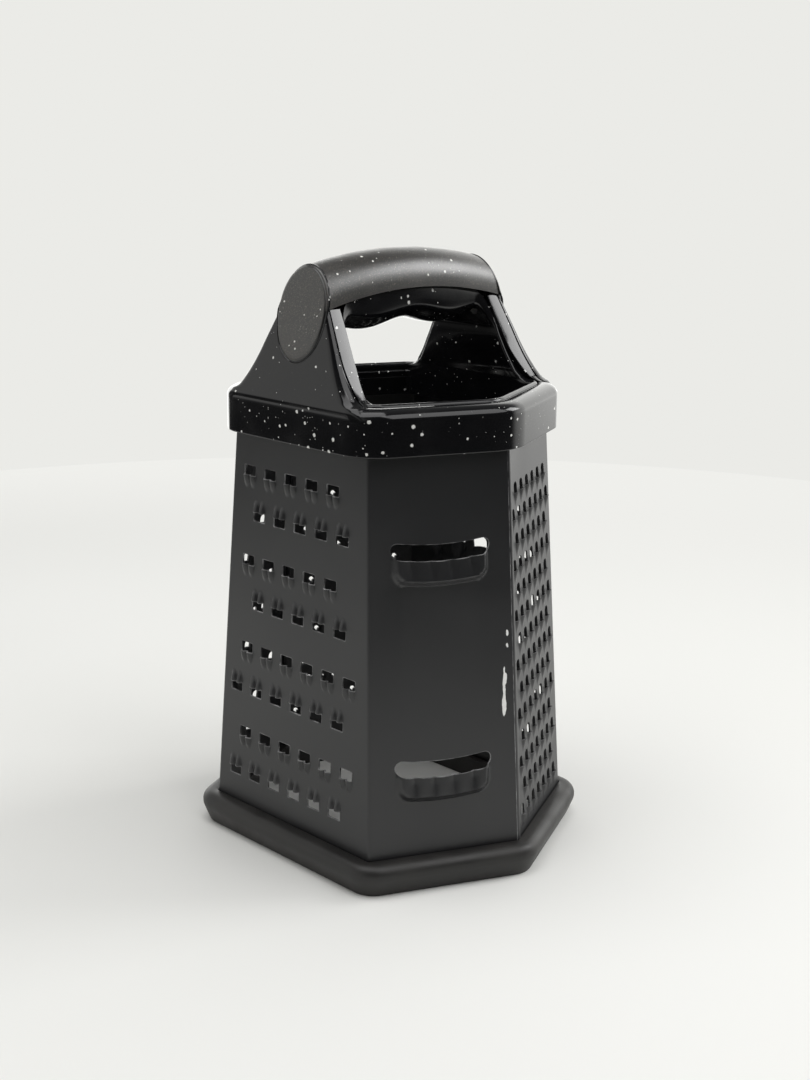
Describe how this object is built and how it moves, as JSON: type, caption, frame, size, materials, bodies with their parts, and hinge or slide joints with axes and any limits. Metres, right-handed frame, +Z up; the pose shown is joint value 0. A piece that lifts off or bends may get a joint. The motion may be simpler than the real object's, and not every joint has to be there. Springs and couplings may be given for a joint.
{
  "type": "box grater",
  "caption": "Free-standing six-sided box grater with a slicing face, coarse and fine grating faces, an arched bar handle and a rubbery base ring.",
  "frame": {"origin": "centre of the base ring's underside, where the grater stands", "axes": "+Z up through the handle, +X along the handle bar, so the two wide faces look to -X and +X"},
  "size_m": [0.1, 0.1268, 0.1881],
  "materials": {
    "coated_sheet": "dark non-stick coating over sheet steel",
    "base_rubber": "matte",
    "speckled_plastic": "glossy black with white speckles",
    "soft_touch": "matte soft-touch with fine speckles"
  },
  "bodies": {
    "root": {"front_shell": "coated_sheet", "rear_shell": "coated_sheet", "base_ring": "base_rubber", "top_frame": "speckled_plastic", "handle_liner": "speckled_plastic", "grip_cover": "soft_touch"}
  },
  "joints": []
}
